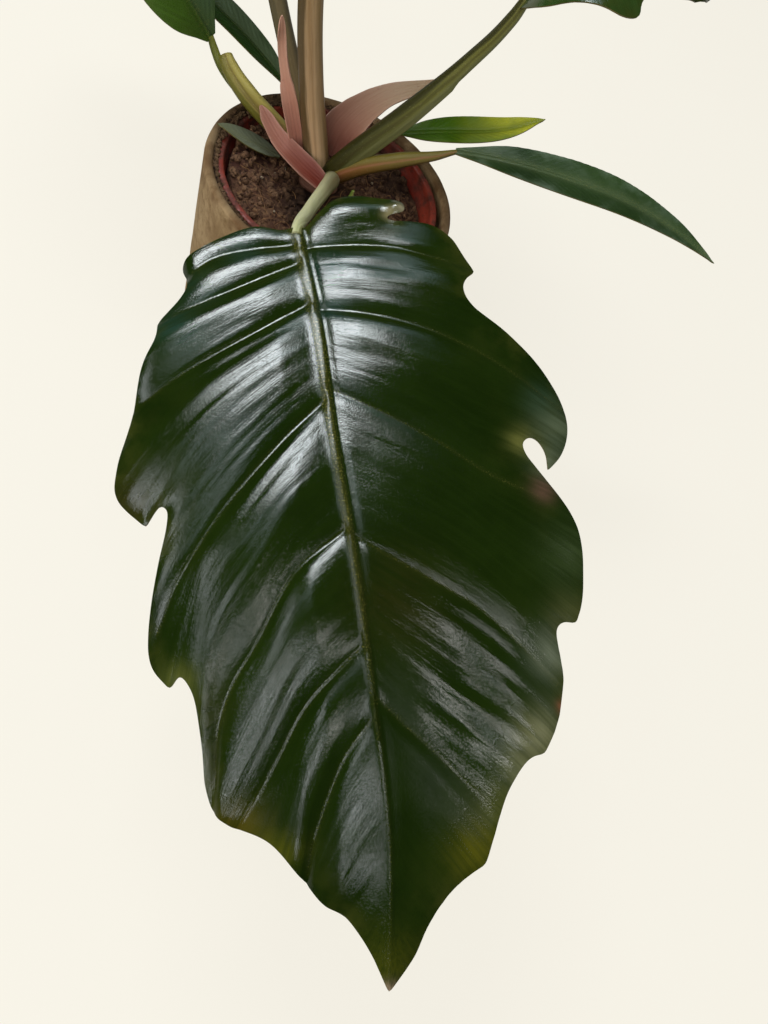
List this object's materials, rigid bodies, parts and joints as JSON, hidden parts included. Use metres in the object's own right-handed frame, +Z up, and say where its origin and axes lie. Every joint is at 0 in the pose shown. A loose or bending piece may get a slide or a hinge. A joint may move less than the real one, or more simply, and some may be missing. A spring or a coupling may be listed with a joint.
{
  "type": "potted philodendron",
  "caption": "Potted philodendron with a large glossy lobed leaf reaching forward, smaller leaves and pink sheaths, in a red nursery pot inside a beige cover pot.",
  "frame": {"origin": "centre of the cover pot's flat base, on the surface it stands on", "axes": "+Z up out of the pot; -Y towards the front, where the large leaf reaches; +X to the right of someone facing the plant from the front"},
  "size_m": [0.5346, 0.5695, 0.3556],
  "materials": {
    "cover": "matte, unglazed, mottled beige",
    "nursery": "satin terracotta red",
    "soil": "matte crumbly dark brown",
    "stalk": "satin olive to tan",
    "leaf": "glossy dark green",
    "young_leaf": "satin bright green",
    "sheath": "matte dusty pink"
  },
  "bodies": {
    "root": {"cover_pot": "cover", "nursery_pot": "nursery", "soil": "soil", "stem": "stalk", "stalk_front": "stalk", "stalk_rear": "stalk", "stalk_rear_left": "stalk", "stalk_right": "stalk", "stalk_left": "stalk", "stalk_long": "stalk", "stalk_narrow": "stalk", "stalk_bright": "stalk", "sheath_short": "sheath", "sheath_wide": "sheath", "sheath_tall": "sheath", "leaf_front": "leaf", "leaf_rear": "leaf", "leaf_rear_left": "leaf", "leaf_right": "leaf", "leaf_left": "young_leaf", "leaf_long": "leaf", "leaf_narrow": "leaf", "leaf_bright": "young_leaf", "leaf_small": "young_leaf", "sprout": "young_leaf"}
  },
  "joints": []
}
